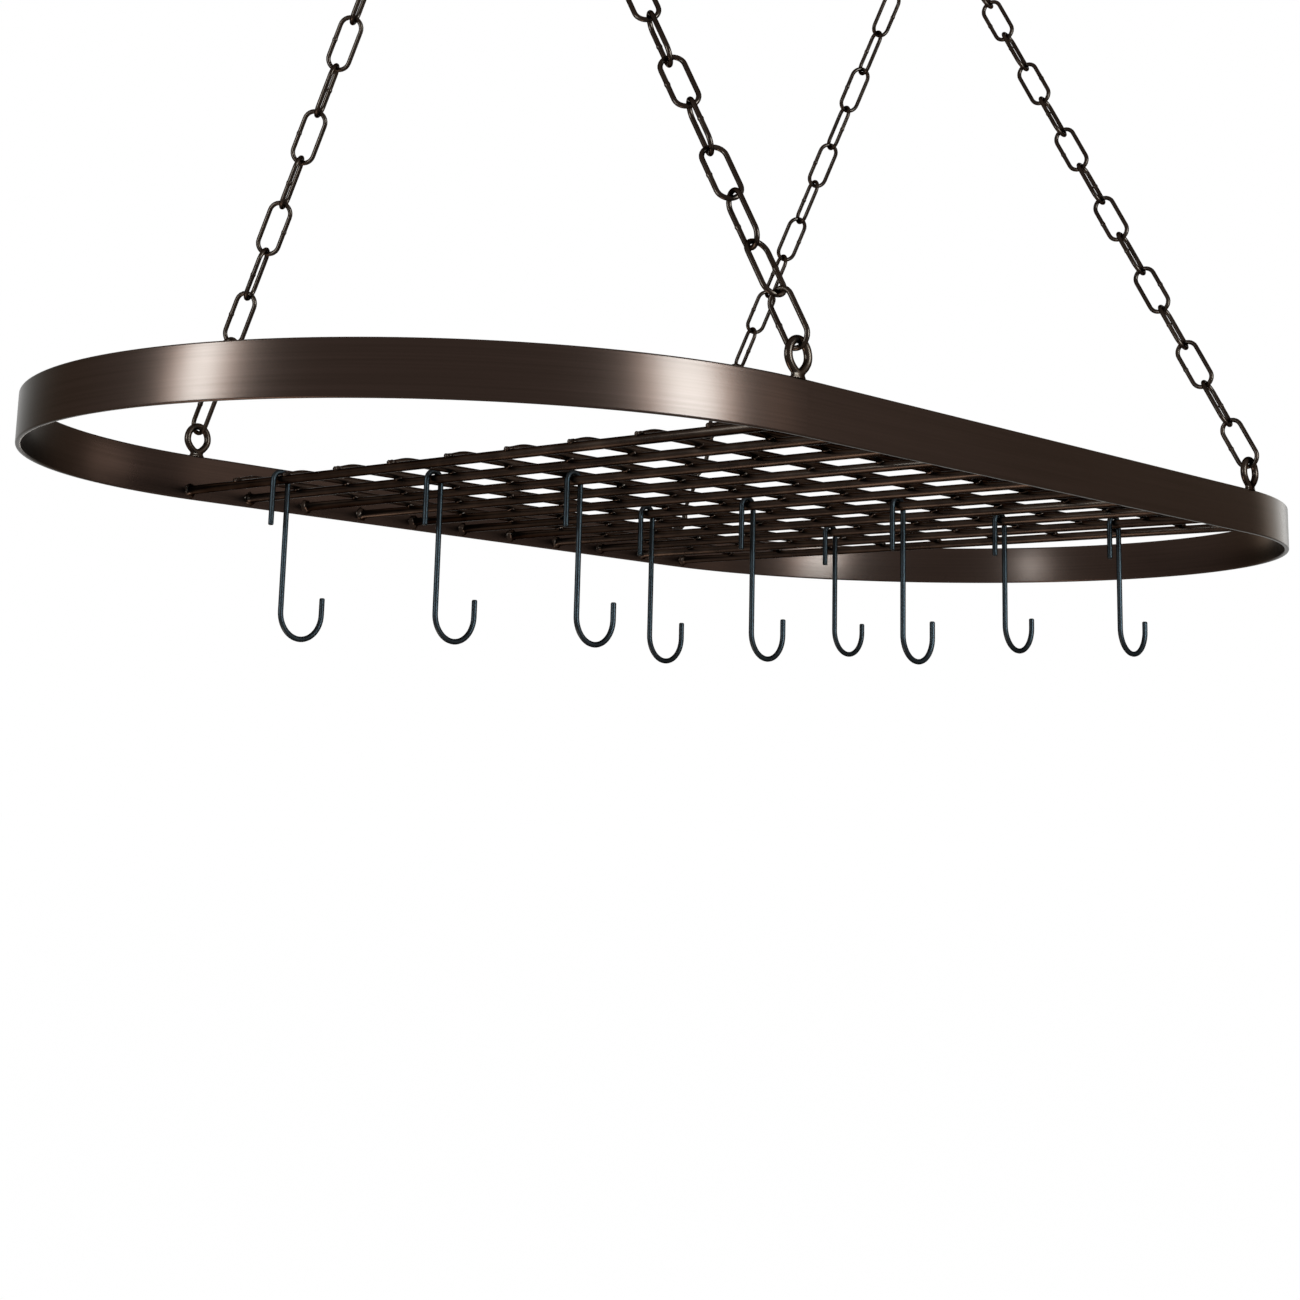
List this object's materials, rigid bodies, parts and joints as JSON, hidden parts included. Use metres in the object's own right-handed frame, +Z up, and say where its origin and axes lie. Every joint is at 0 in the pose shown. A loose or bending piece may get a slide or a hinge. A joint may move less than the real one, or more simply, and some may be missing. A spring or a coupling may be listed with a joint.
{
  "type": "hanging pot rack",
  "caption": "Oval flat-strip rim round a welded rod grid, hung by chains in a V from ceiling hooks, with loose wire hooks for pans.",
  "frame": {"origin": "on the ceiling, midway between the two ceiling hooks", "axes": "+Z up out of the ceiling, +X along the rack, the front side at -Y"},
  "size_m": [0.838, 0.4408, 0.5704],
  "materials": {
    "bronze": "satin, brushed oil-rubbed bronze",
    "chain_bronze": "satin dark bronze",
    "ceiling_hook_bronze": "satin dark bronze",
    "hook_steel": "satin blue-grey"
  },
  "bodies": {
    "ceiling": {"ceiling_hook_left": "ceiling_hook_bronze", "ceiling_hook_right": "ceiling_hook_bronze"},
    "chain_tops": {"top_link_left_front": "chain_bronze", "top_link_left_rear": "chain_bronze", "top_link_right_front": "chain_bronze", "top_link_right_rear": "chain_bronze"},
    "left_chains": {"chain_left_front_1": "chain_bronze", "chain_left_front_2": "chain_bronze", "chain_left_front_3": "chain_bronze", "chain_left_front_4": "chain_bronze", "chain_left_front_5": "chain_bronze", "chain_left_rear_1": "chain_bronze", "chain_left_rear_2": "chain_bronze", "chain_left_rear_3": "chain_bronze", "chain_left_rear_4": "chain_bronze", "chain_left_rear_5": "chain_bronze"},
    "right_chains": {"chain_right_front_1": "chain_bronze", "chain_right_front_2": "chain_bronze", "chain_right_front_3": "chain_bronze", "chain_right_front_4": "chain_bronze", "chain_right_front_5": "chain_bronze", "chain_right_rear_1": "chain_bronze", "chain_right_rear_2": "chain_bronze", "chain_right_rear_3": "chain_bronze", "chain_right_rear_4": "chain_bronze", "chain_right_rear_5": "chain_bronze"},
    "rack": {"rim_band": "bronze", "cross_rod_01": "bronze", "cross_rod_02": "bronze", "cross_rod_03": "bronze", "cross_rod_04": "bronze", "cross_rod_05": "bronze", "cross_rod_06": "bronze", "cross_rod_07": "bronze", "cross_rod_08": "bronze", "cross_rod_09": "bronze", "cross_rod_10": "bronze", "cross_rod_11": "bronze", "long_rod_1": "bronze", "long_rod_2": "bronze", "long_rod_3": "bronze", "long_rod_4": "bronze", "long_rod_5": "bronze", "long_rod_6": "bronze", "long_rod_7": "bronze", "long_rod_8": "bronze", "long_rod_9": "bronze", "eye_left_front": "bronze", "eye_left_rear": "bronze", "eye_right_front": "bronze", "eye_right_rear": "bronze"},
    "pan_hook_1_body": {"pan_hook_1": "hook_steel"},
    "pan_hook_2_body": {"pan_hook_2": "hook_steel"},
    "pan_hook_3_body": {"pan_hook_3": "hook_steel"},
    "pan_hook_4_body": {"pan_hook_4": "hook_steel"},
    "pan_hook_5_body": {"pan_hook_5": "hook_steel"},
    "pan_hook_6_body": {"pan_hook_6": "hook_steel"},
    "pan_hook_7_body": {"pan_hook_7": "hook_steel"},
    "pan_hook_8_body": {"pan_hook_8": "hook_steel"},
    "pan_hook_9_body": {"pan_hook_9": "hook_steel"}
  },
  "joints": [
    {"name": "cross_swing", "type": "hinge", "parent": "ceiling", "child": "chain_tops", "pos_m": [0, 0, -0.02747], "axis": [1, 0, 0], "range_deg": [-20, 20]},
    {"name": "lengthwise_swing", "type": "hinge", "parent": "chain_tops", "child": "left_chains", "pos_m": [-0.208, 0, -0.05551], "axis": [0, 1, 0], "range_deg": [-15, 15]},
    {"name": "right_chains_swing", "type": "hinge", "parent": "chain_tops", "child": "right_chains", "pos_m": [0.208, 0, -0.05551], "axis": [0, 1, 0], "range_deg": [-15, 15]},
    {"name": "rack_level", "type": "hinge", "parent": "left_chains", "child": "rack", "pos_m": [-0.208, 0, -0.42793], "axis": [0, 1, 0], "range_deg": [-15, 15]},
    {"name": "pan_hook_1_swing", "type": "hinge", "parent": "rack", "child": "pan_hook_1_body", "pos_m": [-0.212, 0.13203, -0.45758], "axis": [0, 1, 0], "range_deg": [-30, 30]},
    {"name": "pan_hook_2_swing", "type": "hinge", "parent": "rack", "child": "pan_hook_2_body", "pos_m": [-0.1696, 0.05678, -0.45758], "axis": [0, 1, 0], "range_deg": [-30, 30]},
    {"name": "pan_hook_3_swing", "type": "hinge", "parent": "rack", "child": "pan_hook_3_body", "pos_m": [-0.1272, -0.00483, -0.45758], "axis": [0, 1, 0], "range_deg": [-30, 30]},
    {"name": "pan_hook_4_swing", "type": "hinge", "parent": "rack", "child": "pan_hook_4_body", "pos_m": [0, 0.0578, -0.45758], "axis": [0, 1, 0], "range_deg": [-30, 30]},
    {"name": "pan_hook_5_swing", "type": "hinge", "parent": "rack", "child": "pan_hook_5_body", "pos_m": [0, -0.01779, -0.45758], "axis": [0, 1, 0], "range_deg": [-30, 30]},
    {"name": "pan_hook_6_swing", "type": "hinge", "parent": "rack", "child": "pan_hook_6_body", "pos_m": [0.1272, 0.02052, -0.45758], "axis": [0, 1, 0], "range_deg": [-30, 30]},
    {"name": "pan_hook_7_swing", "type": "hinge", "parent": "rack", "child": "pan_hook_7_body", "pos_m": [0.0424, -0.08963, -0.45758], "axis": [0, 1, 0], "range_deg": [-30, 30]},
    {"name": "pan_hook_8_swing", "type": "hinge", "parent": "rack", "child": "pan_hook_8_body", "pos_m": [0.1272, -0.10054, -0.45758], "axis": [0, 1, 0], "range_deg": [-30, 30]},
    {"name": "pan_hook_9_swing", "type": "hinge", "parent": "rack", "child": "pan_hook_9_body", "pos_m": [0.1696, -0.14976, -0.45758], "axis": [0, 1, 0], "range_deg": [-30, 30]}
  ],
  "couplings": [
    {"joint": "right_chains_swing", "follows": "lengthwise_swing", "ratio": 1},
    {"joint": "rack_level", "follows": "lengthwise_swing", "ratio": -1}
  ]
}
